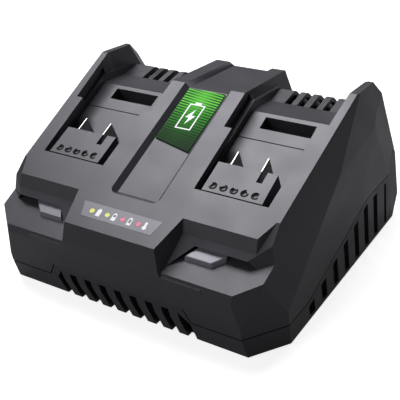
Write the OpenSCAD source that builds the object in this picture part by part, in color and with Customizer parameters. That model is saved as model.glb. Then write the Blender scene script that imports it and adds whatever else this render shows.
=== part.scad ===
// Twin bay power tool battery charger.
// Frame: millimetres, +Z up, -Y is the front, origin under the middle of the case on the table.

/* [Case] */
// Width of the case across its side walls
case_w = 191.6; // [188:0.2:204]
// Depth from the front edge of the deck to the back
case_d = 224; // [220:1:236]
// Height of the two side horns
case_h = 118; // [116:0.5:124]
// Wall thickness of both case halves
wall = 2.8; // [2.4:0.1:3.2]
// Height of the front edge of the sloping deck
deck_z = 57.3; // [55:0.1:59]
// Slope of the deck in degrees
deck_tilt = 27.06; // [26:0.02:28]
// Setback of the bottom front edge behind the deck edge
toe_in = 11; // [8:0.1:14]
// Height of the brow under the deck edge
brow_z = 44.4; // [42:0.1:46]

/* [Corner shelves] */
// Half width of the centre block at the deck edge
block_half = 29.9; // [28:0.1:34]
// Distance of the recess back wall behind the deck edge
recess_y = 20.4; // [18:0.1:23]
// Half width at which the recess turns out to the side wall
recess_turn = 79.5; // [77:0.1:81]
// Height of the front edge of the shelves
shelf_z = 43.4; // [41:0.1:44]
// Slope of the shelves in degrees
shelf_tilt = 27; // [25:0.5:28]

/* [Battery bays] */
// Distance of each bay centre from the middle
bay_x = 54; // [54:0.1:55]
// Distance up the slope at which the bays begin
bay_v = 43; // [42:0.1:46]
// Distance up the slope at which the guide lips step apart
step_v = 90.4; // [86:0.1:94]
// Distance up the slope at which the bay floor ends
floor_v = 119; // [117:0.1:121]
// Depth of the bay floor below the deck
bay_deep = 13.5; // [12.5:0.1:14.5]
// Thickness of the guide lips
lip_t = 4.3; // [3.6:0.1:5]
// Height of the rail grooves under the lips
groove_h = 4.6; // [4:0.1:5]
// Thickness of the floor and latch panels
panel_t = 2.2; // [1.6:0.1:2.6]

/* [Vents] */
// Number of slots in the front vent panel
front_slots = 9; // [7:1:9]
// Spacing of the front slots
front_pitch = 10.7; // [10.5:0.1:11]
// Number of slots in each side vent
side_slots = 8; // [6:1:8]
// Spacing of the side slots
side_pitch = 18.46; // [18:0.02:18.8]
// Width of the slots over each bay
roof_slot_w = 4.6; // [4:0.1:5.4]

/* [Fan] */
// Size of the square fan frame
fan_w = 60; // [56:1:60]
// Thickness of the fan frame
fan_t = 15; // [12:1:16]

/* [Hidden] */
$fn = 48;
big = 400;
front = -case_d / 2;
back = case_d / 2;
side = case_w / 2;
base_z = 0.6;
floor_top = base_z + wall;
seam = 0.8;
skin = 1.5;
fit = 0.15;
run = 0.05;
deck_end = (case_h - deck_z) / tan(deck_tilt);
bridge_z = case_h - 6.5;
saddle_z = case_h - 9.6;
ledge_z = deck_z + floor_v * sin(deck_tilt) - bay_deep * cos(deck_tilt);
ledge_y = front + floor_v * cos(deck_tilt) + bay_deep * sin(deck_tilt);
rim_z = ledge_z + (bay_deep - lip_t - groove_h) / cos(deck_tilt);
// length of the roof behind the bays against its full length
roof_k = (back - 44 - ledge_y) / 67.9;
tub_t = 2.4;
groove_n = lip_t + groove_h;
block_w = 36.7;
block_d = 21.7;
marks = 5;
mark_pitch = 6.45;
blade_xs = [-10.9, 8];
blade_t = 0.8;
board_z = 12;
board_t = 1.6;
board_x = 62;
board_y0 = front + 62;
board_y1 = back - 74;
board_d = board_y1 - board_y0;
screw_x = 78;
screw_y0 = front + 30;
screw_y1 = back - 38;
fan_y = back - 52;
fan_z = floor_top + fan_w / 2;
foot_xy = [76, front + 52, back - 59];

// Node to draw, or all of them

// ---- helpers ----

// Polygon with every side moved inward by t, corners kept sharp.
function inset(p, t) = [
    for (i = [0 : len(p) - 1])
        let (a = p[(i + len(p) - 1) % len(p)], b = p[i], c = p[(i + 1) % len(p)],
             u = (b - a) / norm(b - a), v = (c - b) / norm(c - b),
             m = [-u.y, u.x], n = [-v.y, v.x])
        b + t * (m + n) / (1 + m * n)];

// Everything beyond a plane through p facing n, the plane moved back by t.
module beyond(p, n, t = 0) {
    u = n / norm(n);
    translate(p - t * u)
        rotate([0, acos(u.z), atan2(u.y, u.x)])
            translate([-big, -big, 0])
                cube([2 * big, 2 * big, big]);
}

// A shape drawn in the YZ plane, run across the width.
module across(w) {
    rotate([90, 0, 90])
        linear_extrude(w, center = true)
            children();
}

module both() {
    children();
    mirror([1, 0, 0])
        children();
}

// Moves to the deck: x across, y up the slope, z out of the deck.
module on_deck() {
    translate([0, front, deck_z])
        rotate([deck_tilt, 0, 0])
            children();
}

// Moves to a shelf: x across, y up the shelf, z out of it.
module on_shelf() {
    translate([0, shelf_y, shelf_z])
        rotate([shelf_tilt, 0, 0])
            children();
}

module box(a, b) {
    translate(a)
        cube(b - a);
}

// ---- case envelope ----

function profile() = [
    [front + toe_in, base_z], [back - 12, base_z], [back, 14], [back - 20, 58],
    [back - 60.6, bridge_z - 0.2], [back - 76.4, case_h], [front + deck_end, case_h],
    [front, deck_z], [front - 0.8, brow_z], [front + toe_in / 2, 14]];

// Solid outline of the case with every face moved in by t.
module envelope(t = 0) {
    knee = [side - 0.7, back - 38.3, 45.4];
    difference() {
        across(case_w + 4)
            polygon(inset(profile(), t));
        both() {
            // main side wall, the strip above it and the face above that
            beyond([side, 0, 0], [1, 0, 0.015], t);
            beyond([side - 1.1, front + 71, 74], [1, -0.015, 0.09], t);
            beyond([side - 9.4, front + 32.9, 74.2], [1, -0.153, 0.195], t);
            beyond([side - 2, back - 74.2, case_h - 20.4], [0.99, 0.017, 0.14], t);
            // front part of the side and the two faces of the corner
            beyond([side - 1.1, front, 0], [1, -0.187, 0.161], t);
            beyond([side - 19.8, front + 0.9, 43.4], [0.652, -0.758, 0], t);
            beyond([side - 15.7, front + 6.1, 13.8], [0.845, -0.531, -0.12], t);
            // back corner above and below the joint
            beyond(knee, [0.9952, 0.0669, 0.0708], t);
            beyond(knee, [0.9958, 0.0735, 0.0551], t);
            beyond([side - 3.5, back - 61.5, case_h - 11.3], [0.078, 0.776, 0.626], t);
            // inner face at the back of the horns
            intersection() {
                beyond([side - 9.3, back - 73.5, case_h - 8], [-2.12, 1.3, 1], t);
                box([bay_x + 31.5, -big, ledge_z - 10], [big, big, big]);
            }
            // top of the horns at the back
            intersection() {
                beyond([0, back - 77.5, case_h], [0, 0.565, 0.825], t);
                box([30, -big, 0], [big, big, big]);
            }
        }
    }
}

// Line of the joint between the case halves, as seen from the side.
function joint_line(dz = 0) = [
    [front - 20, 14 + dz], [front + 30, 14.3 + dz],
    [front + 55.6, 14.3 + dz], [back - 77, 41.3 + dz], [back - 34, 41.3 + dz],
    [back - 26, 55.8 + dz], [back + 20, 55.8 + dz]];

module below_joint(dz = 0) {
    across(2 * big)
        polygon(concat(joint_line(dz), [[back + 20, -20], [front - 20, -20]]));
}

module above_joint(dz = 0) {
    across(2 * big)
        polygon(concat(joint_line(dz), [[back + 20, big], [front - 20, big]]));
}

// Front vent panel of the lower case, its sides moved out by g.
module vent_panel(g = 0) {
    translate([0, front + 20, 0])
        rotate([90, 0, 0])
            linear_extrude(40)
                polygon([[-58.8 - g, -3], [58.8 + g, -3], [44.3 + g, 23], [-44.3 - g, 23]]);
}

// ---- corner recesses ----

shelf_y = front + 0.9;
hood_z = shelf_z + 13.3;
hood_y = front + recess_y - 5;
hood_end = [recess_turn - 2.3, hood_y, hood_z];

module above_shelf(t = 0) {
    beyond([0, shelf_y, shelf_z], [0, -sin(shelf_tilt), cos(shelf_tilt)], t);
}

module beside_block(t = 0) {
    beyond([block_half + 0.1, front, deck_z], [1, -0.36, 0.2], t);
}

// Space over the shelf outside the recess walls, grown by t.
module recess(t = 0) {
    corner = [recess_turn, front + recess_y, deck_z + recess_y * tan(deck_tilt)];
    intersection() {
        above_shelf(t);
        beside_block(t);
        union() {
            beyond(corner, [0, -1, 0.25], t);
            beyond(corner, [0.871, -0.491, 0.18], t);
        }
    }
    // band under the front edge of the shelf
    intersection() {
        beyond([0, shelf_y, shelf_z], [0, -1, 0.08], t);
        beside_block(t);
    }
}

// Sloping hood over the slot at the back of the recess.
module hood() {
    difference() {
        linear_extrude(big)
            translate([block_half - 10, front])
                square([90, 60]);
        beyond([0, hood_y, hood_z], [0, -3.1, 3], 0);
        beyond(hood_end, [21, -32, 5], 0);
    }
}

// Slot between shelf and hood.
module hood_slot(t = 0) {
    intersection() {
        above_shelf(t);
        beside_block(t);
        beyond([0, 0, hood_z - 0.3], [0, 0, -1], t);
        beyond([block_half + 15.9, hood_y, hood_z - 0.3], [8.1, 0, -9.2], t);
        beyond(hood_end, [-4.9, 0, -4.1], t);
        beyond([0, front + recess_y + 4.5, 0], [0, -1, 0], t);
    }
}

// ---- battery bays, drawn for the right hand one ----

// Opening between the guide lips.
function lip_plan() = [
    [bay_x - 22.9, bay_v], [bay_x + 22.4, bay_v], [bay_x + 24.7, step_v],
    [bay_x + 29.6, step_v], [bay_x + 32.5, step_v + 44.3], [bay_x + 32.5, 260],
    [bay_x - 28.1, 260], [bay_x - 28.1, step_v], [bay_x - 22.9, step_v]];
// Rail grooves under the lips.
function groove_plan() = [
    [bay_x - 29.5, bay_v], [bay_x + 28.6, bay_v], [bay_x + 31, step_v],
    [bay_x + 33.6, step_v + 44], [bay_x + 33.6, 260], [bay_x - 29.5, 260]];
// Floor of the bay, g smaller all round.
function pit_plan(g = 0) = [
    [bay_x - 25.2 + g, bay_v + g], [bay_x + 26.9 - g, bay_v + g],
    [bay_x + 31.5 - g, floor_v - g], [bay_x - 25.2 + g, floor_v - g]];

module deck_cut(p, low, high) {
    on_deck()
        translate([0, 0, low])
            linear_extrude(high - low)
                polygon(p);
}

// The latch window, g smaller all round.
module window(g, low, high) {
    on_deck()
        box([bay_x - 14.7 + g, floor_v - 12.9 + g, low],
            [bay_x + 17.9 - g, floor_v - 3.4 - g, high]);
}

// Side shape of the roof behind the bay floor, lowered by t.
function roof_line(t = 0) = [
    [ledge_y - 16, ledge_z - t], [ledge_y + 22.5 * roof_k, ledge_z - t],
    [ledge_y + 37.5 * roof_k, ledge_z + 3.6 - t],
    [ledge_y + 41.2 * roof_k, ledge_z + 2.7 - t],
    [ledge_y + 60 * roof_k, ledge_z - 10 - t], [back + 20, ledge_z - 10 - t]];

module roof_cut() {
    // between the rails, down to the ledge and the vent ridge
    difference() {
        translate([bay_x + 3.15, 0, 0])
            across(56.7)
                polygon(concat(roof_line(), [[back + 20, big], [ledge_y - 16, big]]));
        on_deck()
            box([0, 0, -big], [200, floor_v, 0]);
    }
    // over the rails
    difference() {
        translate([bay_x + 2.05, 0, 0])
            across(63.1)
                polygon([[ledge_y - 16, rim_z], [ledge_y + 37.5 * roof_k, rim_z],
                         [ledge_y + 60 * roof_k, ledge_z - 6], [back + 20, ledge_z - 6],
                         [back + 20, big], [ledge_y - 16, big]]);
        on_deck()
            box([0, 0, -big], [200, floor_v + 4.5, -groove_n]);
        on_deck()
            linear_extrude(2 * big, center = true)
                polygon([[0, -10], [bay_x - 28.1, -10], [bay_x - 28.1, 250], [0, 250]]);
        on_deck()
            linear_extrude(2 * big, center = true)
                polygon([[200, -10], [bay_x + 29.6, step_v], [bay_x + 32.5, step_v + 44.3],
                         [bay_x + 32.5, 260], [200, 260]]);
    }
}

module roof_slots() {
    for (i = [-1.5 : 1 : 1.5])
        translate([bay_x + 0.3 + i * 8.5, 0, 0])
            across(roof_slot_w)
                polygon([[ledge_y + 22 * roof_k, case_h], [ledge_y + 22 * roof_k, ledge_z - 6],
                         [ledge_y + 52 * roof_k, ledge_z - 14], [back, ledge_z - 14],
                         [back, case_h]]);
}

module bay_cuts() {
    deck_cut(lip_plan(), -lip_t - 0.01, 40);
    deck_cut([for (p = groove_plan()) [p.x, min(p.y, floor_v + 4.5)]], -groove_n, -lip_t);
    deck_cut(pit_plan(), -bay_deep - panel_t, -groove_n + 0.01);
    window(0, -bay_deep - panel_t - 7, -bay_deep);
    // passage for the foot of the terminal block
    on_deck()
        box([bay_x - 16.6, bay_v + 2.3, -bay_deep - panel_t - tub_t - 1],
            [bay_x + 16.6, bay_v + 19.2, -bay_deep]);
    roof_cut();
    roof_slots();
}

// Material kept around a bay.
module bay_block() {
    deep = bay_deep + panel_t + tub_t;
    on_deck() {
        box([bay_x - 29.5 - tub_t, bay_v - tub_t, -deep], [120, floor_v + 30, 60]);
        box([bay_x - 17.1, floor_v - 15.3, -deep - 7], [bay_x + 20.3, floor_v - 1, 0]);
    }
    translate([bay_x - 29.3 - tub_t + 40, 0, 0])
        across(80)
            polygon(concat(roof_line(wall), [[back + 20, big], [ledge_y - 16, big]]));
}

// ---- bridge between the bays ----

// Cross shape of the shallow channel along the bridge.
module channel_shape(h) {
    polygon([[-13.5, 0], [13.5, 0], [16.4, 3.2], [16.4, h], [-16.4, h], [-16.4, 3.2]]);
}

module channel() {
    on_deck()
        intersection() {
            translate([0, 26.7, -3.2])
                difference() {
                    translate([0, 150, 0])
                        rotate([90, 0, 0])
                            linear_extrude(150)
                                channel_shape(20);
                    beyond([0, 0, 3.2], [0, -2.9, -3.2], 0);
                }
            union() {
                for (s = [-1, 1])
                    translate([s * 11.9, 31.2, -10])
                        cylinder(h = 60, r = 4.5);
                box([-11.9, 26.7, -10], [11.9, 250, 50]);
                box([-16.4, 31.2, -10], [16.4, 250, 50]);
            }
        }
    translate([0, back + 20, saddle_z])
        rotate([90, 0, 0])
            linear_extrude(case_d - 80)
                channel_shape(20);
}

module bridge_top_cut() {
    box([-80, front + (bridge_z - deck_z) / tan(deck_tilt), bridge_z], [80, back + 20, big]);
}

module bridge_block() {
    difference() {
        box([-40, front, 0], [40, back, big]);
        difference() {
            box([-60, front - 10, -10], [60, back + 10, saddle_z - wall]);
            on_deck()
                box([-100, -50, -3.2 - wall], [100, 300, 200]);
        }
    }
}

// ---- case halves ----

// Space inside the case.
module inside() {
    difference() {
        envelope(wall);
        both() {
            recess(wall);
            hood_slot(wall);
            bay_block();
        }
        intersection() {
            bridge_block();
            on_deck()
                box([-80, 24, -200], [80, 400, 200]);
        }
    }
}

module outer_shape() {
    difference() {
        envelope(0);
        both() {
            difference() {
                recess(0);
                hood();
            }
            hood_slot(0);
            bay_cuts();
        }
        bridge_top_cut();
        channel();
    }
}

module screw_column(x, y, r, z0, z1) {
    translate([x, y, z0])
        cylinder(h = z1 - z0, r = r);
}

module upper_columns() {
    intersection() {
        for (s = [-1, 1]) {
            screw_column(s * screw_x, screw_y0, 4.5, 16, 70);
            screw_column(s * screw_x, screw_y1, 4.5, 40, 90);
            // ribs that hold the fan down
            box([s * 22 - 2, fan_y - 6, floor_top + fan_w + 0.1], [s * 22 + 2, fan_y + 6, saddle_z]);
        }
        envelope(1);
    }
    // posts for the status board
    on_deck()
        for (s = [-1, 1])
            translate([s * 24, 11.7, -8.4])
                cylinder(h = 7, r = 2.6);
}

module upper_case() {
    color([0.30, 0.30, 0.32])
        difference() {
            union() {
                difference() {
                    intersection() {
                        outer_shape();
                        above_joint();
                    }
                    inside();
                    // line of shadow along the joint
                    difference() {
                        union() {
                            below_joint(seam);
                            vent_panel(seam);
                        }
                        envelope(skin);
                    }
                    vent_panel();
                }
                upper_columns();
            }
            for (s = [-1, 1]) {
                screw_column(s * screw_x, screw_y0, 2, 15, 30);
                screw_column(s * screw_x, screw_y1, 2, 39, 54);
            }
            // seats of the legend, its light pipes and the status board screws
            on_deck() {
                translate([0, 0, -0.5])
                    linear_extrude(2)
                        polygon(inset(legend_plan(), -0.1));
                for (x = lens_xs())
                    translate([x, 11.7, -9])
                        cylinder(h = 10, r = 1.6);
                for (s = [-1, 1])
                    translate([s * 24, 11.7, -9])
                        cylinder(h = 6, r = 0.95);
            }
            // seats of the guide lenses
            both()
                on_shelf()
                    translate([block_half + 20.6, 17, -10])
                        cylinder(h = 12, r = 2.1);
        }
}

module slot_shape(w, h, lean) {
    polygon([[0, 0], [w, 0], [w - lean * h, h], [-lean * h, h]]);
}

module front_slots_cut() {
    intersection() {
        for (i = [0 : front_slots - 1])
            translate([1.5 + (i - (front_slots - 1) / 2) * front_pitch, front + toe_in + 4, -2])
                rotate([90, 0, 0])
                    linear_extrude(30)
                        slot_shape(i == front_slots - 1 ? 6.6 : 4.9, 21.4, 0.16);
        translate([0, front + 20, 0])
            rotate([90, 0, 0])
                linear_extrude(40)
                    polygon([[-53.6, -3], [50, -3], [48.3, 13.4], [40.9, 19.4], [-40.7, 19.4]]);
    }
}

module side_slots_cut() {
    intersection() {
        for (i = [0 : side_slots - 1])
            across(2 * big)
                translate([front + 67.5 + i * side_pitch - (i == side_slots - 1 ? 4.1 : 7.7), 2.9])
                    slot_shape(i == side_slots - 1 ? 4.1 : 7.7, 60, 0.325);
        difference() {
            below_joint(-4);
            box([-side + 12, -big, -big], [side - 12, big, big]);
        }
    }
}

module back_grille() {
    for (i = [-4 : 4])
        box([i * 6 - 1.5, back - 40, 14], [i * 6 + 1.5, back + 10, 48]);
}

// Moves to the cord inlet in the sloping back wall.
module at_inlet() {
    translate([-60, back - 5.45, 26])
        rotate([-atan2(44, 20), 0, 0])
            children();
}

module lower_posts() {
    for (s = [-1, 1]) {
        screw_column(s * screw_x, screw_y0, 5.5, base_z + 1, 16);
        screw_column(s * screw_x, screw_y1, 5.5, base_z + 1, 40);
        for (y = [board_y0, board_y1])
            screw_column(s * board_x, y, 3.5, base_z + 1, board_z);
        // cradle of the fan
        box([s * 22 - 4, fan_y - fan_t / 2 - 2.5, base_z + 1],
            [s * 22 + 4, fan_y - fan_t / 2 - 0.1, floor_top + 14]);
        box([s * 22 - 4, fan_y + fan_t / 2 + 0.1, base_z + 1],
            [s * 22 + 4, fan_y + fan_t / 2 + 2.5, floor_top + 14]);
        box([s * (fan_w / 2 + 1.35) - 1.25, fan_y - fan_t / 2 - 2.5, base_z + 1],
            [s * (fan_w / 2 + 1.35) + 1.25, fan_y + fan_t / 2 + 2.5, floor_top + 14]);
    }
}

module lower_case() {
    color([0.17, 0.17, 0.19])
        difference() {
            union() {
                difference() {
                    intersection() {
                        envelope(0);
                        union() {
                            below_joint();
                            vent_panel();
                        }
                    }
                    inside();
                }
                intersection() {
                    lower_posts();
                    envelope(1);
                }
            }
            front_slots_cut();
            side_slots_cut();
            back_grille();
            for (s = [-1, 1]) {
                screw_column(s * screw_x, screw_y0, 2.2, 0, 17);
                screw_column(s * screw_x, screw_y1, 2.2, 0, 41);
                screw_column(s * screw_x, screw_y0, 4, -1, 6);
                screw_column(s * screw_x, screw_y1, 4, -1, 26);
                for (y = [board_y0, board_y1])
                    screw_column(s * board_x, y, 1.25, 4.4, board_z + 1);
                for (i = [1, 2])
                    screw_column(s * foot_xy[0], foot_xy[i], 7.1, -1, 2.2);
            }
            at_inlet()
                translate([0, 0, -10])
                    cylinder(h = 20, r = 6.6);
        }
}

// ---- parts of the bays ----

// Moves a part drawn about the bay centre to the bay on side s.
module at_bay(s) {
    translate([s * bay_x, 0, 0])
        on_deck()
            children();
}

// Mirrors a part drawn for the right hand bay to side s.
module on_side(s) {
    mirror([s < 0 ? 1 : 0, 0, 0])
        children();
}

module foot_hole(s) {
    translate([s * bay_x, 0, 0])
        on_deck()
            box([-16.2, bay_v + 2.4, -40], [15.2, bay_v + 19.1, 0]);
}

module bay_floor(s) {
    color([0.47, 0.47, 0.49])
        difference() {
            on_side(s)
                intersection() {
                    deck_cut(pit_plan(fit), -bay_deep - panel_t, -bay_deep);
                    on_deck()
                        box([0, 0, -50], [200, floor_v - 22.5, 0]);
                }
            foot_hole(s);
        }
}

module latch_panel(s) {
    color([0.47, 0.47, 0.49])
        on_side(s)
            difference() {
                deck_cut(pit_plan(fit), -bay_deep - panel_t, -bay_deep);
                on_deck()
                    box([0, 0, -50], [200, floor_v - 22.2, 0]);
                window(0, -50, 0);
            }
}

function blade_side(g) = [
    [bay_v + 8 - g, -36], [bay_v + 13 + g, -36], [bay_v + 13 + g, -bay_deep + 0.2 - g],
    [bay_v + block_d + 10.3, -bay_deep + 0.2 - g], [bay_v + block_d + 10.3, -0.4 + g],
    [bay_v + block_d + 0.35, -0.4 + g], [bay_v + block_d + 0.35, -2 + g],
    [bay_v + 8 - g, -2 + g]];

module blade_shapes(g) {
    for (x = blade_xs)
        translate([x, 0, 0])
            rotate([90, 0, 90])
                linear_extrude(blade_t + 2 * g, center = true)
                    polygon(blade_side(g));
}

module pin_shapes(g) {
    for (i = [0 : marks - 1])
        translate([(i - (marks - 1) / 2) * mark_pitch - 0.5, bay_v + 5.1, -36])
            cylinder(h = 35.1 + g, r = 1 + g);
}

module terminal_block(s) {
    color([0.49, 0.49, 0.51])
        at_bay(s)
            difference() {
                union() {
                    box([-block_w / 2 - 0.15, bay_v + 0.9, -bay_deep],
                        [block_w / 2 - 0.15, bay_v + 0.3 + block_d, -0.1]);
                    box([-16, bay_v + 2.6, -bay_deep - 9], [15, bay_v + 18.9, -bay_deep]);
                }
                blade_shapes(0.05);
                pin_shapes(0.05);
                // round wells over the signal pins
                for (i = [0 : marks - 1])
                    translate([(i - (marks - 1) / 2) * mark_pitch - 0.5, bay_v + 5.1, -0.9])
                        cylinder(h = 2, r = 1.5);
                // keying notch beside the second blade
                box([8.4, bay_v + block_d - 7.7, -bay_deep + 1.5],
                    [12, bay_v + block_d + 1, 1]);
            }
}

module power_blades(s) {
    color([0.80, 0.79, 0.76])
        at_bay(s)
            blade_shapes(0);
}

module signal_pins(s) {
    color([0.78, 0.70, 0.42])
        at_bay(s)
            pin_shapes(0);
}

// ---- light guides, legend and badge ----

module guide_lens(s) {
    color([0.65, 0.65, 0.68])
        on_side(s)
            on_shelf() {
                difference() {
                    linear_extrude(3)
                        polygon([[block_half + 11.8, 11.1], [block_half + 28.5, 11.1],
                                 [block_half + 34.4, 17.1], [block_half + 34.4, 21],
                                 [block_half + 17.8, 21]]);
                    // sloping front and outer end
                    beyond([0, 11.1, 0], [0, -3, 1.4], 0);
                    beyond([block_half + 28.5, 11.1, 0], [18, -17.7, 10.7], 0);
                }
                translate([block_half + 20.6, 17, -8])
                    cylinder(h = 9, r = 2);
            }
}

function legend_plan() = [[-23.1, 7.1], [23.6, 7.1], [26, 17], [-26.6, 17]];
function lens_xs() = [-18.1, -7.6, 2.8, 13.2];

module status_legend() {
    color([0.60, 0.60, 0.62])
        on_deck()
            difference() {
                translate([0, 0, -0.5])
                    linear_extrude(0.6)
                        polygon(legend_plan());
                for (x = lens_xs())
                    translate([x, 11.7, -2])
                        cylinder(h = 4, r = 1.6);
            }
}

module light_pipes(xs) {
    on_deck()
        for (x = xs)
            translate([x, 11.7, -6.2])
                cylinder(h = 6.35, r = 1.5);
}

module status_lenses_green() {
    color([0.75, 0.78, 0.25])
        light_pipes([lens_xs()[0], lens_xs()[1]]);
}

module status_lenses_red() {
    color([0.85, 0.30, 0.38])
        light_pipes([lens_xs()[2], lens_xs()[3]]);
}

module badge_plate() {
    color([0.14, 0.55, 0.12])
        on_deck()
            translate([0, 0, -3.2])
                linear_extrude(0.8)
                    polygon([[-12.9, 73.5], [12.9, 68], [12.9, 117.5], [-12.9, 117.5]]);
}

module status_board() {
    color([0.08, 0.30, 0.16])
        on_deck()
            difference() {
                box([-27.5, 5.5, -10], [27.5, 17.5, -8.4]);
                for (s = [-1, 1])
                    translate([s * 24, 11.7, -12])
                        cylinder(h = 6, r = 1.2);
            }
}

module status_leds() {
    color([0.90, 0.90, 0.86])
        on_deck()
            for (x = lens_xs())
                box([x - 1.6, 10.3, -8.4], [x + 1.6, 13.1, -6.2]);
}

module status_screws() {
    color([0.72, 0.73, 0.74])
        on_deck()
            for (s = [-1, 1])
                translate([s * 24, 11.7, -11.4]) {
                    cylinder(h = 1.4, r = 2);
                    cylinder(h = 7, r = 0.9);
                }
}

// ---- electronics ----

module main_board() {
    color([0.08, 0.30, 0.16])
        difference() {
            box([-68, board_y0 - 7, board_z], [68, board_y1 + 7, board_z + board_t]);
            for (s = [-1, 1])
                for (y = [board_y0, board_y1])
                    screw_column(s * board_x, y, 1.6, board_z - 1, board_z + 5);
        }
}

module board_screws() {
    color([0.72, 0.73, 0.74])
        for (s = [-1, 1])
            for (y = [board_y0, board_y1]) {
                screw_column(s * board_x, y, 2.8, board_z + board_t, board_z + board_t + 2);
                screw_column(s * board_x, y, 1.2, board_z - 6, board_z + board_t + 1);
            }
}

part_z = board_z + board_t;
core_y = board_y0 + 0.68 * board_d;
sink_y = board_y0 + 0.7 * board_d;

module transformer_core() {
    color([0.16, 0.16, 0.17])
        translate([20, core_y, part_z])
            difference() {
                box([-22, -8, 0], [22, 8, 38]);
                for (s = [-1, 1])
                    box([s * 11.5 - 5, -9, 6], [s * 11.5 + 5, 9, 32]);
            }
}

module transformer_winding() {
    color([0.72, 0.45, 0.18])
        translate([20, core_y, part_z]) {
            difference() {
                box([-16.2, -17, 6.2], [16.2, 17, 31.8]);
                box([-6.7, -8.2, 0], [6.7, 8.2, 40]);
            }
            // bobbin feet on the board
            for (s = [-1, 1])
                box([-14, s * 13.5 - 3, 0], [14, s * 13.5 + 3, 6.3]);
        }
}

module bulk_capacitors() {
    color([0.10, 0.14, 0.30])
        for (i = [0, 1])
            translate([-36 + i * 26, board_y0 + 0.18 * board_d, part_z]) {
                cylinder(h = 26, r = 11);
                cylinder(h = 27, r = 9.6);
            }
}

module filter_choke() {
    color([0.62, 0.38, 0.14])
        translate([30, board_y0 + 0.2 * board_d, part_z + 13])
            rotate([90, 0, 0])
                rotate_extrude($fn = 64)
                    translate([8.6, -5])
                        square([4.4, 10]);
}

module heat_sink() {
    color([0.70, 0.71, 0.72])
        translate([-38, sink_y, part_z]) {
            box([-24, -2, 0], [24, 2, 34]);
            for (i = [0 : 6])
                box([-24 + i * 7.75, 1.9, 0], [-22.5 + i * 7.75, 18, 34]);
        }
}

module power_transistors() {
    color([0.12, 0.12, 0.13])
        for (i = [-1, 1])
            translate([-38 + i * 12, sink_y, part_z]) {
                box([-5, -6.5, 8], [5, -2, 17]);
                box([-5, -3.3, 16.9], [5, -2, 23]);
                for (x = [-2.5, 0, 2.5])
                    box([x - 0.4, -4.7, 0], [x + 0.4, -3.9, 8.1]);
            }
}

module fuse() {
    color([0.86, 0.86, 0.84])
        translate([52, board_y0 + 0.27 * board_d, part_z]) {
            translate([0, -10, 5])
                rotate([-90, 0, 0])
                    cylinder(h = 20, r = 2.6);
            for (y = [-8, 8])
                box([-2.6, y - 2, 0], [2.6, y + 2, 3.4]);
        }
}

// ---- fan ----

module fan_frame() {
    color([0.10, 0.10, 0.11])
        translate([0, fan_y, fan_z])
            rotate([90, 0, 0]) {
                difference() {
                    translate([-fan_w / 2, -fan_w / 2, -fan_t / 2])
                        cube([fan_w, fan_w, fan_t]);
                    translate([0, 0, -fan_t])
                        cylinder(h = 2 * fan_t, r = fan_w / 2 - 1.8, $fn = 96);
                    for (x = [-1, 1])
                        for (y = [-1, 1])
                            translate([x * (fan_w / 2 - 5), y * (fan_w / 2 - 5), -fan_t])
                                cylinder(h = 2 * fan_t, r = 2.15);
                }
                // motor plate, its three arms and the bearing post
                translate([0, 0, -fan_t / 2]) {
                    cylinder(h = 2, r = 13);
                    for (a = [30, 150, 270])
                        rotate([0, 0, a])
                            box([10, -2, 0], [fan_w / 2 - 1, 2, 2]);
                    difference() {
                        cylinder(h = 11, r = 4);
                        translate([0, 0, 2])
                            cylinder(h = 12, r = 1.5 + run);
                    }
                }
            }
}

module fan_rotor() {
    color([0.14, 0.14, 0.15])
        translate([0, fan_y, fan_z])
            rotate([90, 0, 0])
                translate([0, 0, -fan_t / 2]) {
                    difference() {
                        translate([0, 0, 2.6])
                            cylinder(h = fan_t - 3.6, r = 13.5);
                        translate([0, 0, 2])
                            cylinder(h = fan_t - 4.6, r = 12);
                    }
                    translate([0, 0, 2.3])
                        cylinder(h = fan_t - 4, r = 1.5);
                    for (a = [0 : 360 / 7 : 359])
                        rotate([0, 0, a])
                            translate([12.2, 0, fan_t / 2 + 0.5])
                                rotate([38, 0, 0])
                                    box([0, -6.4, -0.6], [fan_w / 2 - 15.8, 6.4, 0.6]);
                }
}

// ---- fixings ----

module cord_inlet_bush() {
    color([0.07, 0.07, 0.08])
        at_inlet()
            difference() {
                union() {
                    cylinder(h = 2.4, r = 9.5);
                    translate([0, 0, -wall - 2.6])
                        cylinder(h = wall + 3, r = 6.5);
                    // ring that holds it from inside
                    translate([0, 0, -wall - 2.6])
                        cylinder(h = 2.5, r = 7.4);
                }
                translate([0, 0, -20])
                    cylinder(h = 40, r = 3.8);
            }
}

module rubber_feet() {
    color([0.06, 0.06, 0.06])
        for (s = [-1, 1])
            for (i = [1, 2])
                screw_column(s * foot_xy[0], foot_xy[i], 7, 0, 2.2);
}

module case_screw(x, y, z) {
    translate([x, y, z]) {
        translate([0, 0, -2.6])
            difference() {
                cylinder(h = 2.6, r = 3.6);
                translate([0, 0, -1])
                    cylinder(h = 2.4, r = 1.9, $fn = 6);
            }
        cylinder(h = 20, r = 1.9);
    }
}

module case_screws() {
    color([0.72, 0.73, 0.74])
        for (s = [-1, 1]) {
            case_screw(s * screw_x, screw_y0, 6);
            case_screw(s * screw_x, screw_y1, 26);
        }
}

// ---- nodes ----

upper_case();
lower_case();
bay_floor(-1);  // left_bay_floor
bay_floor(1);  // right_bay_floor
latch_panel(-1);  // left_latch_panel
latch_panel(1);  // right_latch_panel
terminal_block(-1);  // left_terminal_block
terminal_block(1);  // right_terminal_block
power_blades(-1);  // left_power_blades
power_blades(1);  // right_power_blades
signal_pins(-1);  // left_signal_pins
signal_pins(1);  // right_signal_pins
guide_lens(-1);  // left_guide_lens
guide_lens(1);  // right_guide_lens
status_legend();
status_lenses_green();
status_lenses_red();
badge_plate();
status_board();
status_leds();
status_screws();
main_board();
board_screws();
transformer_core();
transformer_winding();
bulk_capacitors();
filter_choke();
heat_sink();
power_transistors();
fuse();
fan_frame();
fan_rotor();
cord_inlet_bush();
rubber_feet();
case_screws();
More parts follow.
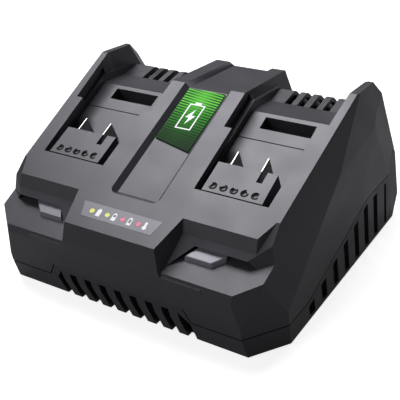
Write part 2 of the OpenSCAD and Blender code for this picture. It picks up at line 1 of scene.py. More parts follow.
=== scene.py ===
"""Looks of a twin bay tool battery charger, laid out as a Blender add-on and run as a script."""
import math

import bpy
from mathutils import Matrix, Vector


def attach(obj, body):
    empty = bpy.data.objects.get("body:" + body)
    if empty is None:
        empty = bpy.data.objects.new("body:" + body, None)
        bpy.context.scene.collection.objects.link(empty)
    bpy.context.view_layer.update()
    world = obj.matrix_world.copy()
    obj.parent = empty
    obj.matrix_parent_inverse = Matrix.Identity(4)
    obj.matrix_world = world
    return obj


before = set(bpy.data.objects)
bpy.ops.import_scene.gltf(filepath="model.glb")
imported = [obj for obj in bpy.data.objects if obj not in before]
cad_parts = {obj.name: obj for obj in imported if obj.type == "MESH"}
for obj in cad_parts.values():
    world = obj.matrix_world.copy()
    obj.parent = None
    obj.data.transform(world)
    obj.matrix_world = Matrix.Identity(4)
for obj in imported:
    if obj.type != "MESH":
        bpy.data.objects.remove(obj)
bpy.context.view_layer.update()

bl_info = {
    "name": "Twin Bay Battery Charger",
    "version": (1, 0, 0),
    "blender": (4, 5, 0),
    "location": "View3D > Sidebar > Charger",
    "description": "Dresses the charger's frame with plastics, prints, contacts and a studio",
    "category": "Object",
}

MM = 0.001
BODY = "case"
SIDES = {"left": -1, "right": 1}

# Places in the deck frame, in mm: x across, v up the slope, z out of it.
BAY_X = 54.0
# Painted shade rings over the signal pins: place, pitch, radii, height and count.
SHADE_RING_X = -0.5
SHADE_RING_V = 48.1
SHADE_RING_PITCH = 6.45
SHADE_RING_RADII = (1.6, 2.4)
SHADE_RING_Z = (-0.12, 0.0)
SHADE_RING_COUNT = 5
LEGEND_V = 11.7
LEGEND_INK_Z = (0.1, 0.16)
ICON_XS = (-13.4, -2.9, 7.5, 17.6)
CHARGE_LEVELS = (1.0, 0.55, 0.3)
BADGE_MID = 94.5
BADGE_INK_Z = (-2.4, -2.33)

# Size of the broad patches of every grain and spacing of the badge's ruled lines, in mm,
# and the area in mm2 from which a face counts as wide.
PATCH = 22
RULING = 2.1
WIDE_FACE = 60

# Lamps: name, direction from the part, distance and size in m, power in W.
LAMPS = (("softbox_top", (-0.315, 0.17, 0.935), 1.25, (0.83, 0.85), 17.2),
         ("softbox_front", (-0.35, -0.9, 0.35), 1.6, (1.2, 0.8), 5.6),
         ("softbox_back", (0.12, 0.95, 0.28), 1.4, (0.5, 0.5), 5))
LAMP_TARGET = Vector((0.0, 0.0, 0.05))
DAYLIGHT = (0.985, 0.975, 1.04)

# Camera: place in m, angles in degrees, sensor in mm, focal length and shifts in image widths.
CAMERA_AT = (0.2201, -0.3827, 0.2473)
CAMERA_AZIMUTH = 30.93
CAMERA_ELEVATION = 26.14
CAMERA_SHIFT = (0.0004, 0.0015)
FOCAL_LENGTH = 1.83175
SENSOR = 36

# Deck frame: origin at the front edge of the deck, x across, y up the slope, z out of it.
DECK_TILT = math.radians(27.06)
DECK_FRONT = Vector((0.0, -0.112, 0.0573))
DECK = Matrix.Translation(DECK_FRONT) @ Matrix.Rotation(DECK_TILT, 4, "X")


# ---- colours and materials ----

def linear(hex_colour):
    """sRGB hex, such as "3C3C40", to linear RGBA."""
    rgb = [int(hex_colour[i:i + 2], 16) / 255 for i in (0, 2, 4)]
    return tuple(c / 12.92 if c <= 0.04045 else ((c + 0.055) / 1.055) ** 2.4 for c in rgb) + (1.0,)


def hexed(colour):
    """Linear RGB of a colour property to sRGB hex."""
    out = ""
    for c in colour[:3]:
        c = c * 12.92 if c <= 0.0031308 else 1.055 * c ** (1 / 2.4) - 0.055
        out += "%02X" % round(max(0, min(1, c)) * 255)
    return out


def add(owner, kind, values=None, links=None, **settings):
    """Adds a node with its settings, input values and links, given as input: (node, output)."""
    tree = getattr(owner, "node_tree", owner)
    node = tree.nodes.new(kind)
    for name, value in settings.items():
        setattr(node, name, value)
    for name, value in (values or {}).items():
        node.inputs[name].default_value = value
    for name, (source, output) in (links or {}).items():
        tree.links.new(source.outputs[output], node.inputs[name])
    return node


def material(name, colour, **values):
    """A material with one Principled shader; values are its sockets by name."""
    mat = bpy.data.materials.new(name)
    mat.use_nodes = True
    shader = mat.node_tree.nodes["Principled BSDF"]
    shader.inputs["Base Color"].default_value = linear(colour)
    mat.diffuse_color = linear(colour)
    for key, value in values.items():
        shader.inputs[key.replace("_", " ")].default_value = value
    return mat, shader


def link(mat, source, output, target, name):
    mat.node_tree.links.new(source.outputs[output], target.inputs[name])


def grain(mat, shader, size, strength, mottle, rough, streak=None):
    """Mould grain: bumps of about size mm, a mottle of the colour and a spread of the roughness."""
    where = add(mat, "ShaderNodeTexCoord")
    space = (where, "Object")
    if streak:
        stretch = add(mat, "ShaderNodeMapping", {"Scale": streak}, {"Vector": space})
        space = (stretch, "Vector")
    fine = add(mat, "ShaderNodeTexNoise",
               {"Scale": 1 / (size * MM), "Detail": 3.0, "Roughness": 0.6}, {"Vector": space})
    bump = add(mat, "ShaderNodeBump", {"Strength": strength, "Distance": size * MM * 0.2},
               {"Height": (fine, "Fac")})
    link(mat, bump, "Normal", shader, "Normal")
    wide = add(mat, "ShaderNodeTexNoise", {"Scale": 1 / (PATCH * MM), "Detail": 2.0},
               {"Vector": space})
    tone = add(mat, "ShaderNodeMapRange",
               {"From Min": 0.3, "From Max": 0.7, "To Min": 1 - mottle, "To Max": 1 + mottle},
               {"Value": (wide, "Fac")})
    fleck = mottle * 0.6
    speck = add(mat, "ShaderNodeMapRange",
                {"From Min": 0.35, "From Max": 0.65, "To Min": 1 - fleck, "To Max": 1 + fleck},
                {"Value": (fine, "Fac")})
    both = add(mat, "ShaderNodeMath", None, {0: (tone, "Result"), 1: (speck, "Result")},
               operation="MULTIPLY")
    base = tuple(shader.inputs["Base Color"].default_value)[:3]
    shade = add(mat, "ShaderNodeVectorMath", {0: base}, {"Scale": (both, "Value")},
                operation="SCALE")
    link(mat, shade, "Vector", shader, "Base Color")
    middle = shader.inputs["Roughness"].default_value
    spread = add(mat, "ShaderNodeMapRange",
                 {"From Min": 0.3, "From Max": 0.7,
                  "To Min": middle - rough, "To Max": middle + rough},
                 {"Value": (wide, "Fac")})
    link(mat, spread, "Result", shader, "Roughness")


def moulded(name, colour, roughness, size=0.7, strength=0.35):
    """Etched ABS or another moulded body: matt, faintly mottled, bright only under a lamp."""
    mat, shader = material(name, colour, Roughness=roughness, IOR=1.5)
    grain(mat, shader, size, strength, mottle=0.05, rough=0.04)
    return mat


def plated_metal(name, colour, roughness, streak=(1, 1, 1)):
    """Plated strip metal: fine rolling lines that stretch the highlights."""
    mat, shader = material(name, colour, Roughness=roughness, Metallic=1.0)
    grain(mat, shader, 0.25, 0.12, mottle=0.04, rough=0.06, streak=streak)
    return mat


def frosted_polycarbonate(name, colour):
    """Frosted light guide: milky, soft edged, a little see-through."""
    mat, shader = material(name, colour, Roughness=0.38, IOR=1.58, Subsurface_Weight=0.35,
                           Subsurface_Scale=0.003, Coat_Weight=0.15, Coat_Roughness=0.2)
    shader.inputs["Subsurface Radius"].default_value = (1.0, 1.0, 1.05)
    grain(mat, shader, 0.5, 0.15, mottle=0.03, rough=0.05)
    return mat


def lit_lens(name, colour, glow):
    """Tinted acrylic light pipe: glossy, saturated, faintly lit from behind."""
    mat, shader = material(name, colour, Roughness=0.22, IOR=1.49, Emission_Strength=glow)
    shader.inputs["Emission Color"].default_value = linear(colour)
    grain(mat, shader, 0.9, 0.08, mottle=0.1, rough=0.05)
    return mat


def printed_film(name, colour):
    """Screen printed polyester film: satin, even, with a slight orange peel."""
    mat, shader = material(name, colour, Roughness=0.42, IOR=1.57, Coat_Weight=0.25,
                           Coat_Roughness=0.35)
    grain(mat, shader, 1.6, 0.08, mottle=0.025, rough=0.03)
    return mat


def badge_film(name, bright, dark):
    """Green printed film: dark at the foot, bright at the top, with dark ruled lines."""
    mat, shader = material(name, bright, Roughness=0.55, IOR=1.5, Specular_IOR_Level=0.08)
    where = add(mat, "ShaderNodeTexCoord")
    deck = add(mat, "ShaderNodeMapping", {"Rotation": (-DECK_TILT, 0, 0)},
               {"Vector": (where, "Object")})
    axes = add(mat, "ShaderNodeSeparateXYZ", None, {"Vector": (deck, "Vector")})
    front_v = DECK_FRONT.y * math.cos(DECK_TILT) + DECK_FRONT.z * math.sin(DECK_TILT)
    foot_v, top_v = front_v + (BADGE_MID - 26) * MM, front_v + (BADGE_MID + 24) * MM
    along = add(mat, "ShaderNodeMapRange", {"From Min": foot_v, "From Max": top_v},
                {"Value": (axes, "Y")})
    fade = add(mat, "ShaderNodeValToRGB", None, {"Fac": (along, "Result")})
    stops = fade.color_ramp.elements
    stops[0].position, stops[0].color = 0.0, linear("0C2E0A")
    stops[1].position, stops[1].color = 1.0, linear(bright)
    for place, colour in ((0.25, "1A5010"), (0.55, "349E22"), (0.78, "6CDA48")):
        stop = stops.new(place)
        stop.color = linear(colour)
    # ruled lines, leaning a little across the film
    lean = add(mat, "ShaderNodeMath", {1: 0.12}, {0: (axes, "X")}, operation="MULTIPLY")
    row = add(mat, "ShaderNodeMath", None, {0: (axes, "Y"), 1: (lean, "Value")}, operation="ADD")
    turns = add(mat, "ShaderNodeMath", {1: 2 * math.pi / (RULING * MM)}, {0: (row, "Value")},
                operation="MULTIPLY")
    wave = add(mat, "ShaderNodeMath", None, {0: (turns, "Value")}, operation="SINE")
    line = add(mat, "ShaderNodeMapRange", {"From Min": -0.35, "From Max": 0.35},
               {"Value": (wave, "Value")})
    side = add(mat, "ShaderNodeMath", None, {0: (axes, "X")}, operation="ABSOLUTE")
    edge = add(mat, "ShaderNodeMapRange",
               {"From Min": 1 * MM, "From Max": 9 * MM, "To Min": 0.35, "To Max": 0.97},
               {"Value": (side, "Value")})
    amount = add(mat, "ShaderNodeMath", None, {0: (line, "Result"), 1: (edge, "Result")},
                 operation="MULTIPLY")
    # a colour mix has its two colours on inputs 6 and 7 and its result on output 2
    mix = add(mat, "ShaderNodeMix", {7: linear(dark)}, {0: (amount, "Value"), 6: (fade, "Color")},
              data_type="RGBA")
    link(mat, mix, 2, shader, "Base Color")
    return mat


def shrink_sleeve(name, colour):
    """PVC sleeve shrunk over a capacitor: glossy with a faint ripple."""
    mat, shader = material(name, colour, Roughness=0.3, IOR=1.53)
    grain(mat, shader, 2.5, 0.1, mottle=0.05, rough=0.05)
    return mat


def solder_mask(name, colour):
    """Glass-epoxy board under green solder mask: glossy, with copper tracks as lighter lines."""
    mat, shader = material(name, colour, Roughness=0.35, IOR=1.55, Coat_Weight=0.3,
                           Coat_Roughness=0.15)
    where = add(mat, "ShaderNodeTexCoord")
    cells = add(mat, "ShaderNodeTexVoronoi", {"Scale": 1 / (9 * MM)}, {"Vector": (where, "Object")},
                feature="DISTANCE_TO_EDGE")
    track = add(mat, "ShaderNodeMapRange",
                {"From Min": 0.05, "From Max": 0.09, "To Min": 1.9, "To Max": 1.0},
                {"Value": (cells, "Distance")})
    shade = add(mat, "ShaderNodeVectorMath", {0: linear(colour)[:3]}, {"Scale": (track, "Result")},
                operation="SCALE")
    link(mat, shade, "Vector", shader, "Base Color")
    return mat


def enamelled_winding(name, colour, turn, axis):
    """Copper wire under clear enamel: a ripple of turn mm along the winding's axis, with painted
    shade in the troughs between the turns and a painted highlight on their crowns.
    """
    mat, shader = material(name, colour, Roughness=0.28, Metallic=0.85)
    where = add(mat, "ShaderNodeTexCoord")
    axes = add(mat, "ShaderNodeSeparateXYZ", None, {"Vector": (where, "Object")})
    turns = add(mat, "ShaderNodeMath", {1: 2 * math.pi / (turn * MM)}, {0: (axes, axis)},
                operation="MULTIPLY")
    wave = add(mat, "ShaderNodeMath", None, {0: (turns, "Value")}, operation="SINE")
    bump = add(mat, "ShaderNodeBump", {"Strength": 0.8, "Distance": 0.2 * MM},
               {"Height": (wave, "Value")})
    link(mat, bump, "Normal", shader, "Normal")
    # painted shade and highlight: the colour follows the ripple, darker in the troughs between the
    # turns and lighter on their crowns
    tone = add(mat, "ShaderNodeMapRange",
               {"From Min": -1, "From Max": 1, "To Min": 0.45, "To Max": 1.15},
               {"Value": (wave, "Value")})
    shade = add(mat, "ShaderNodeVectorMath", {0: linear(colour)[:3]}, {"Scale": (tone, "Result")},
                operation="SCALE")
    link(mat, shade, "Vector", shader, "Base Color")
    return mat


def vulcanised_rubber(name, colour):
    """Moulded rubber: dull, soft black with a fine bloom."""
    mat, shader = material(name, colour, Roughness=0.85, IOR=1.52)
    grain(mat, shader, 0.9, 0.4, mottle=0.12, rough=0.05)
    return mat


# ---- mesh helpers ----

def piece(name, verts, faces, mat, slot_name):
    """A mesh piece given in the deck frame, in mm, that rides on the case."""
    mesh = bpy.data.meshes.new(name)
    mesh.from_pydata([tuple(c * MM for c in v) for v in verts], [], faces)
    mesh.update()
    mesh.transform(DECK)
    mesh.materials.append(mat)
    obj = bpy.data.objects.new(name, mesh)
    bpy.context.scene.collection.objects.link(obj)
    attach(obj, BODY)


def slab(outline, low, high):
    """Vertices and faces of an outline (x, y) raised from low to high, in mm."""
    count = len(outline)
    verts = [(x, y, low) for x, y in outline] + [(x, y, high) for x, y in outline]
    faces = [tuple(range(count - 1, -1, -1)), tuple(range(count, 2 * count))]
    faces += [(i, (i + 1) % count, count + (i + 1) % count, count + i) for i in range(count)]
    return verts, faces


def arc(x, y, inner, outer, low, high, start, sweep, steps=40):
    """Vertices and faces of a flat arc: a ring that runs from start over sweep degrees."""
    verts = []
    for i in range(steps + 1):
        a = math.radians(start + sweep * i / steps)
        for r, z in ((inner, low), (outer, low), (outer, high), (inner, high)):
            verts.append((x + r * math.cos(a), y + r * math.sin(a), z))
    faces = []
    for i in range(steps):
        a, b = 4 * i, 4 * (i + 1)
        faces += [(a + j, a + (j + 1) % 4, b + (j + 1) % 4, b + j) for j in range(4)]
    faces += [(3, 2, 1, 0), tuple(4 * steps + j for j in range(4))]
    return verts, faces


def rectangle(x0, v0, x1, v1, low, high):
    return slab([(x0, v0), (x1, v0), (x1, v1), (x0, v1)], low, high)


def joined(*shapes):
    """Several (verts, faces) as one."""
    verts, faces = [], []
    for v, f in shapes:
        faces += [tuple(i + len(verts) for i in face) for face in f]
        verts += v
    return verts, faces


def battery_outline(x, v, half, body, line, cap_half, cap, low, high):
    """Frame of a standing battery with its cap; line is the width of the stroke."""
    return [rectangle(x - half, v, x + half, v + line, low, high),
            rectangle(x - half, v + body - line, x + half, v + body, low, high),
            rectangle(x - half, v + line, x - half + line, v + body - line, low, high),
            rectangle(x + half - line, v + line, x + half, v + body - line, low, high),
            rectangle(x - cap_half, v + body, x + cap_half, v + body + cap, low, high)]


def battery_icon(x, v, wide, tall, fill, low, high):
    """Outline of a standing battery with its cap, filled from below."""
    half, line = wide / 2, 0.42
    body = tall * 0.86
    level = v + line + (body - 2 * line) * fill
    parts = battery_outline(x, v, half, body, line, half * 0.45, tall - body, low, high)
    return parts + [rectangle(x - half + line, v + line, x + half - line, level, low, high)]


def thermometer_icon(x, v, tall, low, high):
    """A thermometer: a bulb under a narrow stem."""
    bulb_r, half, tip, steps = 1.3, 0.75, 0.35, 24
    turns = [2 * math.pi * i / steps for i in range(steps)]
    bulb = [(x + bulb_r * math.cos(a), v + bulb_r + bulb_r * math.sin(a)) for a in turns]
    top = v + tall
    stem = [(x - half, v + 1.8), (x + half, v + 1.8), (x + half, top - 0.5), (x + tip, top),
            (x - tip, top), (x - half, top - 0.5)]
    # the stem lies a hair higher, so that the two tops don't share a plane
    return [slab(bulb, low, high), slab(stem, low + 0.005, high + 0.005)]


def crisp_facets():
    """Node group that keeps the shallow edges between wide flat faces sharp."""
    group = bpy.data.node_groups.new("crisp_facets", "GeometryNodeTree")
    group.interface.new_socket("Geometry", in_out="INPUT", socket_type="NodeSocketGeometry")
    group.interface.new_socket("Geometry", in_out="OUTPUT", socket_type="NodeSocketGeometry")
    start = add(group, "NodeGroupInput")
    angle = add(group, "GeometryNodeInputMeshEdgeAngle")
    area = add(group, "GeometryNodeInputMeshFaceArea")
    # shallow is 1 to 21 degrees; a compare has its numbers on inputs 0 and 1, its tolerance on 12
    shallow = add(group, "FunctionNodeCompare", {1: math.radians(11), 12: math.radians(10)},
                  {0: (angle, 0)}, operation="EQUAL")
    wide = add(group, "FunctionNodeCompare", {1: WIDE_FACE * MM * MM}, {0: (area, 0)},
               operation="GREATER_THAN")
    both = add(group, "FunctionNodeBooleanMath", None, {0: (shallow, 0), 1: (wide, 0)},
               operation="AND")
    sharp = add(group, "GeometryNodeSetShadeSmooth", {"Shade Smooth": False},
                {"Geometry": (start, 0), "Selection": (both, 0)}, domain="EDGE")
    add(group, "NodeGroupOutput", None, {0: (sharp, 0)})
    return group


def soften(obj, width):
    """Rounds the sharp edges by width mm, as a mould's edges are, and keeps flat facets flat."""
    weld = obj.modifiers.new("weld", "WELD")
    weld.merge_threshold = 0.00001
    flat = obj.modifiers.new("flat", "DECIMATE")
    flat.decimate_type = "DISSOLVE"
    flat.angle_limit = math.radians(0.3)
    crisp = obj.modifiers.new("crisp", "NODES")
    crisp.node_group = bpy.data.node_groups.get("crisp_facets") or crisp_facets()
    bevel = obj.modifiers.new("edges", "BEVEL")
    bevel.width = width * MM
    bevel.segments = 2
    bevel.limit_method = "ANGLE"
    bevel.angle_limit = math.radians(20)
    bevel.use_clamp_overlap = True
    shade = obj.modifiers.new("shade", "WEIGHTED_NORMAL")
    shade.keep_sharp = True
    shade.weight = 100


def finish_node(name, mat, round_mm=0.0):
    """Gives a frame node its material and edge rounds; a missing node raises an error."""
    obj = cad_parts.get(name)
    if obj is None:
        raise RuntimeError("the frame has no node " + name)
    obj.data.materials.clear()
    obj.data.materials.append(mat)
    if round_mm:
        soften(obj, round_mm)


# ---- sizes and colours a user would change ----

def size_property(name, description, default, low, high):
    """A length in mm."""
    return bpy.props.FloatProperty(name=name, description=description + ", mm", default=default,
                                   min=low, max=high)


class ChargerSizes(bpy.types.PropertyGroup):
    """Sizes of the dressing, in millimetres."""
    case_round: size_property("Case edge round", "Radius of the moulded edges of the case",
                              0.7, 0.1, 1.5)
    part_round: size_property("Part edge round", "Radius of the edges of the small parts",
                              0.25, 0.05, 0.6)
    icon_height: size_property("Icon height", "Height of the legend's icons", 5.1, 3, 7)
    badge_middle: size_property("Badge middle", "Middle of the badge's sign up the slope",
                                BADGE_MID, 90, 100)


def colour_property(name, description, hex_colour):
    return bpy.props.FloatVectorProperty(name=name, description=description, subtype="COLOR",
                                         size=3, min=0, max=1, default=linear(hex_colour)[:3])


class ChargerColours(bpy.types.PropertyGroup):
    """Colours of the charger's finishes."""
    upper: colour_property("Upper case", "Moulded ABS of the upper case", "3C3C40")
    lower: colour_property("Lower case", "Moulded ABS of the lower case", "37373B")
    bay: colour_property("Bay panels", "Moulded ABS of bay floors and terminal blocks", "404044")
    lens: colour_property("Light guides", "Frosted light guides on the shelves", "828288")
    legend: colour_property("Legend", "Printed film of the status legend", "64646A")
    green_light: colour_property("Green lights", "Charged lights", "C9CC3C")
    red_light: colour_property("Red lights", "Charging lights", "C8405C")
    badge_bright: colour_property("Badge bright", "Bright end of the badge", "66CE44")
    badge_dark: colour_property("Badge dark", "Dark end and ruled lines of the badge", "0C2A0E")


def sizes():
    return bpy.context.scene.charger_sizes


def colours():
    return bpy.context.scene.charger_colours


# ---- operators, one for each group of pieces ----

class CHARGER_OT_case(bpy.types.Operator):
    """Moulded plastic and edge rounds of both case halves"""
    bl_idname = "charger.case"
    bl_label = "Case"

    def execute(self, context):
        upper = moulded("abs_etched_upper", hexed(colours().upper), 0.38)
        lower = moulded("abs_etched_lower", hexed(colours().lower), 0.45, size=0.8)
        finish_node("upper_case", upper, sizes().case_round)
        finish_node("lower_case", lower, sizes().case_round)
        return {"FINISHED"}


class CHARGER_OT_bays(bpy.types.Operator):
    """Bay floors, latch panels and terminal blocks, with painted shade rings over the signal pins
    """
    bl_idname = "charger.bays"
    bl_label = "Bays"

    def execute(self, context):
        abs_bay = moulded("abs_etched_bay", hexed(colours().bay), 0.38, size=0.6, strength=0.25)
        # painted shade: flat black rings stand for the shade round the signal pin wells; their dull
        # finish keeps the lamps' reflections off them
        dark, _ = material("painted_shade_black", "070708", Roughness=0.85,
                           Specular_IOR_Level=0.12)
        for side, sign in SIDES.items():
            for name in ("bay_floor", "latch_panel", "terminal_block"):
                finish_node(side + "_" + name, abs_bay, sizes().part_round)
            first = sign * BAY_X + SHADE_RING_X - SHADE_RING_PITCH * (SHADE_RING_COUNT - 1) / 2
            # the gap in each ring is turned 40 degrees from the one before
            painted_shade_rings = joined(*[arc(first + SHADE_RING_PITCH * i, SHADE_RING_V, *SHADE_RING_RADII, *SHADE_RING_Z,
                                 start=200 - 40 * i, sweep=290) for i in range(SHADE_RING_COUNT)])
            piece(side + "_block_painted_shade_rings", *painted_shade_rings, dark, "bay_panel")
        return {"FINISHED"}


class CHARGER_OT_contacts(bpy.types.Operator):
    """Nickel plated blades and tin plated pins"""
    bl_idname = "charger.contacts"
    bl_label = "Contacts"

    def execute(self, context):
        nickel = plated_metal("nickel_plated_strip", "B0AEA8", 0.24, streak=(1, 6, 1))
        tin = plated_metal("tin_plated_pin", "6E6C6A", 0.7)
        for side in SIDES:
            finish_node(side + "_power_blades", nickel, 0.15)
            finish_node(side + "_signal_pins", tin, 0.1)
        return {"FINISHED"}


class CHARGER_OT_light_guides(bpy.types.Operator):
    """Frosted light guides on the corner shelves"""
    bl_idname = "charger.light_guides"
    bl_label = "Light guides"

    def execute(self, context):
        frosted = frosted_polycarbonate("polycarbonate_frosted", hexed(colours().lens))
        for side in SIDES:
            finish_node(side + "_guide_lens", frosted, 0.35)
        return {"FINISHED"}


class CHARGER_OT_legend(bpy.types.Operator):
    """Status legend, its four lights and their icons"""
    bl_idname = "charger.legend"
    bl_label = "Status legend"

    def execute(self, context):
        film = printed_film("polyester_film_grey", hexed(colours().legend))
        ink = printed_film("screen_ink_white", "F2F2F0")
        finish_node("status_legend", film)
        green = lit_lens("acrylic_yellow_green", hexed(colours().green_light), 0.25)
        finish_node("status_lenses_green", green)
        finish_node("status_lenses_red", lit_lens("acrylic_red", hexed(colours().red_light), 0.12))
        tall = sizes().icon_height
        v = LEGEND_V - tall / 2
        icons = []
        for x, level in zip(ICON_XS, CHARGE_LEVELS):
            icons += battery_icon(x, v, 2.7, tall, level, *LEGEND_INK_Z)
        icons += thermometer_icon(ICON_XS[-1], v, tall, *LEGEND_INK_Z)
        piece("legend_icons", *joined(*icons), ink, "legend_film")
        return {"FINISHED"}


class CHARGER_OT_badge(bpy.types.Operator):
    """Green badge in the channel of the bridge, with a plain charging sign"""
    bl_idname = "charger.badge"
    bl_label = "Badge"

    def execute(self, context):
        film = badge_film("polyester_film_green", hexed(colours().badge_bright),
                          hexed(colours().badge_dark))
        ink = printed_film("screen_ink_white_badge", "F4F6F2")
        finish_node("badge_plate", film, 0.2)
        mid = sizes().badge_middle
        half, tall = 5.4, 21.0
        sign = battery_outline(0.0, mid - tall / 2, half, tall, 0.85, 2.2, 1.7, *BADGE_INK_Z)
        bolt = [(0.9, 6.6), (-3.1, -0.9), (-0.5, -0.9), (-0.9, -6.6), (3.1, 1.1), (0.5, 1.1)]
        sign.append(slab([(x, mid + v) for x, v in bolt], *BADGE_INK_Z))
        piece("badge_sign", *joined(*sign), ink, "badge_print")
        return {"FINISHED"}


class CHARGER_OT_electronics(bpy.types.Operator):
    """Boards and the components on them"""
    bl_idname = "charger.electronics"
    bl_label = "Electronics"

    def execute(self, context):
        mask = solder_mask("solder_mask_green", "12402A")
        finish_node("main_board", mask)
        finish_node("status_board", mask)
        finish_node("status_leds", lit_lens("epoxy_led", "E8E8E2", 0.1), 0.2)
        ferrite = moulded("ferrite_sintered", "232325", 0.62, size=0.6, strength=0.3)
        finish_node("transformer_core", ferrite, 0.3)
        layers = enamelled_winding("copper_enamelled_layers", "A65C26", 0.9, "Z")
        finish_node("transformer_winding", layers, 0.6)
        turns = enamelled_winding("copper_enamelled_ring", "9A521F", 1.2, "X")
        finish_node("filter_choke", turns, 0.6)
        finish_node("bulk_capacitors", shrink_sleeve("pvc_sleeve_blue", "16203F"), 0.5)
        aluminium = plated_metal("aluminium_extruded", "B9BABC", 0.38, streak=(6, 6, 1))
        finish_node("heat_sink", aluminium, 0.2)
        epoxy = moulded("epoxy_moulding_black", "17171A", 0.55, size=0.5, strength=0.2)
        finish_node("power_transistors", epoxy, 0.15)
        glaze = moulded("ceramic_glazed", "D8D8D2", 0.25, size=0.9, strength=0.1)
        finish_node("fuse", glaze, 0.2)
        return {"FINISHED"}


class CHARGER_OT_fan(bpy.types.Operator):
    """Cooling fan behind the back grille"""
    bl_idname = "charger.fan"
    bl_label = "Fan"

    def execute(self, context):
        black = moulded("pbt_black", "1B1B1D", 0.48, size=0.6, strength=0.2)
        finish_node("fan_frame", black, 0.4)
        finish_node("fan_rotor", black, 0.2)
        return {"FINISHED"}


class CHARGER_OT_fixings(bpy.types.Operator):
    """Rubber feet, cord bush and screws"""
    bl_idname = "charger.fixings"
    bl_label = "Fixings"

    def execute(self, context):
        rubber = vulcanised_rubber("rubber_vulcanised", "191919")
        zinc = plated_metal("zinc_plated_steel", "B4B6B9", 0.35)
        finish_node("rubber_feet", rubber, 0.4)
        finish_node("cord_inlet_bush", rubber, 0.4)
        for name in ("case_screws", "board_screws", "status_screws"):
            finish_node(name, zinc, 0.15)
        return {"FINISHED"}


# ---- studio ----

def floor_material():
    """Pale painted studio floor, lifted to white for the eye, that gives the part little bounce."""
    mat, shader = material("studio_paint_pale", "F2F2F2", Roughness=0.9, Specular_IOR_Level=0.0)
    rays = add(mat, "ShaderNodeLightPath")
    seen = add(mat, "ShaderNodeMath", None,
               {0: (rays, "Is Camera Ray"), 1: (rays, "Is Transmission Ray")},
               operation="MAXIMUM")
    part = add(mat, "ShaderNodeMath", {1: 0.13}, {0: (rays, "Is Glossy Ray")},
               operation="MULTIPLY")
    amount = add(mat, "ShaderNodeMath", None, {0: (seen, "Value"), 1: (part, "Value")},
                 operation="MAXIMUM")
    pale = add(mat, "ShaderNodeMix", {6: linear("6A6A6C"), 7: linear("D0D0D0")},
               {0: (amount, "Value")}, data_type="RGBA")
    link(mat, pale, 2, shader, "Base Color")
    lift = add(mat, "ShaderNodeMath", {1: 0.82}, {0: (amount, "Value")}, operation="MULTIPLY")
    shader.inputs["Emission Color"].default_value = (1, 1, 1, 1)
    link(mat, lift, "Value", shader, "Emission Strength")
    return mat


def softbox(name, direction, distance, size, power):
    """A cool daylight lamp that looks at the part from a direction."""
    data = bpy.data.lights.new(name, "AREA")
    data.shape = "RECTANGLE"
    data.size, data.size_y = size
    data.energy = power
    data.color = DAYLIGHT
    lamp = bpy.data.objects.new(name, data)
    way = Vector(direction).normalized()
    lamp.location = LAMP_TARGET + way * distance
    lamp.rotation_euler = way.to_track_quat("Z", "Y").to_euler()
    bpy.context.scene.collection.objects.link(lamp)


def world_light(level, seen_level):
    """Dim even light of strength level, which the camera sees at seen_level."""
    world = bpy.data.worlds.new("studio")
    bpy.context.scene.world = world
    world.use_nodes = True
    back = world.node_tree.nodes["Background"]
    back.inputs["Color"].default_value = (1, 1, 1, 1)
    rays = add(world, "ShaderNodeLightPath")
    seen = add(world, "ShaderNodeMath", None,
               {0: (rays, "Is Camera Ray"), 1: (rays, "Is Transmission Ray")},
               operation="MAXIMUM")
    gloss = add(world, "ShaderNodeMath", {1: 0.1}, {0: (rays, "Is Glossy Ray")},
                operation="MULTIPLY")
    top = add(world, "ShaderNodeMath", None, {0: (seen, "Value"), 1: (gloss, "Value")},
              operation="MAXIMUM")
    spread = add(world, "ShaderNodeMapRange", {"To Min": level, "To Max": seen_level},
                 {"Value": (top, "Value")})
    link(world, spread, "Result", back, "Strength")


def place_camera():
    """The camera in front of the part, to its right and above it."""
    data = bpy.data.cameras.new("camera")
    data.sensor_width = SENSOR
    data.lens = SENSOR * FOCAL_LENGTH
    data.shift_x, data.shift_y = CAMERA_SHIFT
    data.clip_start = 0.01
    camera = bpy.data.objects.new("camera", data)
    azimuth, elevation = math.radians(CAMERA_AZIMUTH), math.radians(CAMERA_ELEVATION)
    flat = math.cos(elevation)
    back = Vector((math.sin(azimuth) * flat, -math.cos(azimuth) * flat, math.sin(elevation)))
    right = Vector((math.cos(azimuth), math.sin(azimuth), 0))
    turn = Matrix((right, back.cross(right), back)).transposed()
    camera.matrix_world = Matrix.Translation(CAMERA_AT) @ turn.to_4x4()
    bpy.context.scene.collection.objects.link(camera)
    bpy.context.scene.camera = camera


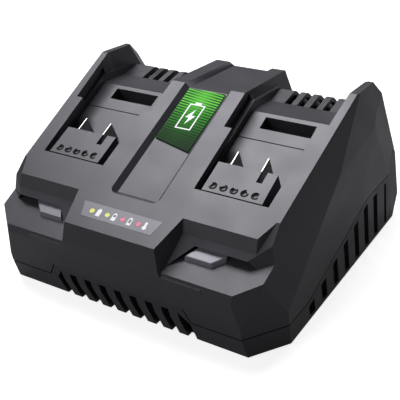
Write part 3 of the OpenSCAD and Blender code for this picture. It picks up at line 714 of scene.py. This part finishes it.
class CHARGER_OT_stage(bpy.types.Operator):
    """Pale floor, soft lamps and the camera"""
    bl_idname = "charger.stage"
    bl_label = "Studio"

    def execute(self, context):
        mesh = bpy.data.meshes.new("studio_floor")
        mesh.from_pydata([(-6, -6, 0), (6, -6, 0), (6, 6, 0), (-6, 6, 0)], [], [(0, 1, 2, 3)])
        mesh.materials.append(floor_material())
        floor = bpy.data.objects.new("studio_floor", mesh)
        floor.location.z = -0.0002
        context.scene.collection.objects.link(floor)
        world_light(level=0.06, seen_level=1.0)
        for lamp in LAMPS:
            softbox(*lamp)
        place_camera()
        context.scene.view_settings.view_transform = "Standard"
        return {"FINISHED"}


class CHARGER_PT_panel(bpy.types.Panel):
    """Sidebar list of the charger's pieces"""
    bl_label = "Battery Charger"
    bl_space_type = "VIEW_3D"
    bl_region_type = "UI"
    bl_category = "Charger"

    def draw(self, context):
        layout = self.layout
        for group in (context.scene.charger_sizes, context.scene.charger_colours):
            column = layout.column()
            for name in group.__annotations__:
                column.prop(group, name)
        for operator in OPERATORS:
            layout.operator(operator.bl_idname)


OPERATORS = (CHARGER_OT_case, CHARGER_OT_bays, CHARGER_OT_contacts, CHARGER_OT_light_guides,
             CHARGER_OT_legend, CHARGER_OT_badge, CHARGER_OT_electronics, CHARGER_OT_fan,
             CHARGER_OT_fixings, CHARGER_OT_stage)
CLASSES = (ChargerSizes, ChargerColours) + OPERATORS + (CHARGER_PT_panel,)


def register():
    for cls in CLASSES:
        bpy.utils.register_class(cls)
    bpy.types.Scene.charger_sizes = bpy.props.PointerProperty(type=ChargerSizes)
    bpy.types.Scene.charger_colours = bpy.props.PointerProperty(type=ChargerColours)


def unregister():
    del bpy.types.Scene.charger_colours
    del bpy.types.Scene.charger_sizes
    for cls in reversed(CLASSES):
        bpy.utils.unregister_class(cls)


def main():
    register()
    bpy.ops.charger.case()
    bpy.ops.charger.bays()
    bpy.ops.charger.contacts()
    bpy.ops.charger.light_guides()
    bpy.ops.charger.legend()
    bpy.ops.charger.badge()
    bpy.ops.charger.electronics()
    bpy.ops.charger.fan()
    bpy.ops.charger.fixings()
    bpy.ops.charger.stage()


if __name__ == "__main__":
    main()
